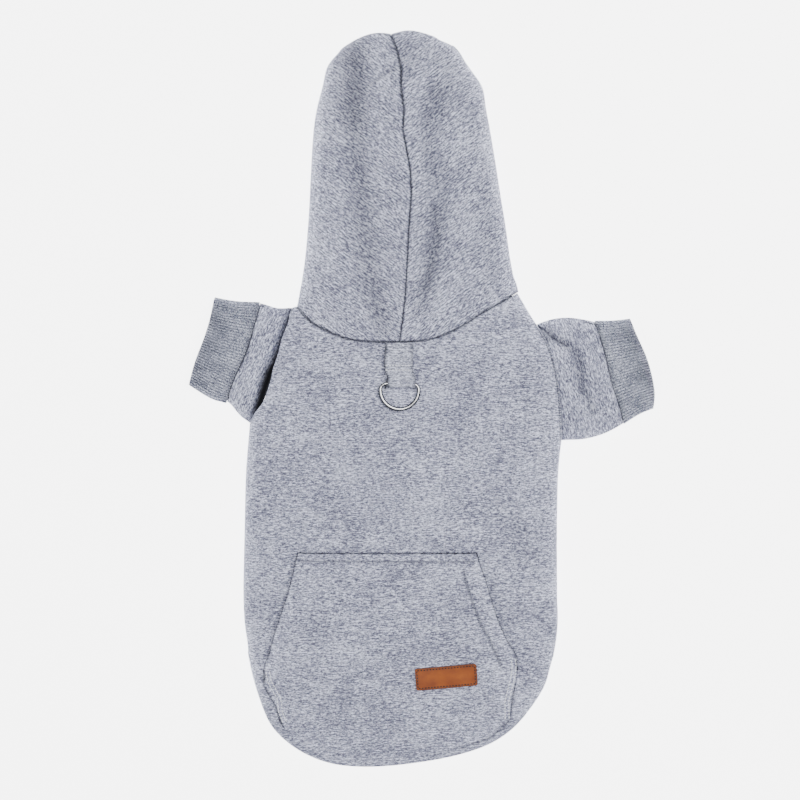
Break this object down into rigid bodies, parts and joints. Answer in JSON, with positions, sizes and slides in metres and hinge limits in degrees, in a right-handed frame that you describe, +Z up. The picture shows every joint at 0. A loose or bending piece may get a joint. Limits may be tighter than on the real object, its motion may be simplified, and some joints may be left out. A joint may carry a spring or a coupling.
{
  "type": "dog hoodie",
  "caption": "Grey heather dog hoodie lying flat with its back up: hood, ribbed cuffs, patch pocket, leather patch and a leash ring on a sewn tab.",
  "frame": {"origin": "on the surface that the hoodie lies on, under the middle of the chest, on the belly panel's flat underside", "axes": "+Y from the tail hem to the hood, +X to the right as seen from above the lying back, +Z up out of the back"},
  "size_m": [0.3288, 0.522, 0.0332],
  "materials": {
    "fleece": "heather grey fleece, brushed",
    "sleeve_fleece": "heather grey fleece, brushed",
    "rib_knit": "ribbed knit",
    "leather": "smooth tan, stitched",
    "nickel": "polished nickel plate"
  },
  "bodies": {
    "garment": {"back_panel": "fleece", "belly_panel": "fleece", "hood_left": "fleece", "hood_right": "fleece", "sleeve_left": "sleeve_fleece", "sleeve_right": "sleeve_fleece", "cuff_left": "rib_knit", "cuff_right": "rib_knit", "pocket": "fleece", "leather_label": "leather", "leash_tab": "fleece"},
    "leash_ring": {"d_ring": "nickel"}
  },
  "joints": [
    {"name": "ring_swing", "type": "hinge", "parent": "garment", "child": "leash_ring", "pos_m": [-0.00348, 0.03285, 0.03033], "axis": [-1, 0, 0], "range_deg": [0, 150]}
  ]
}
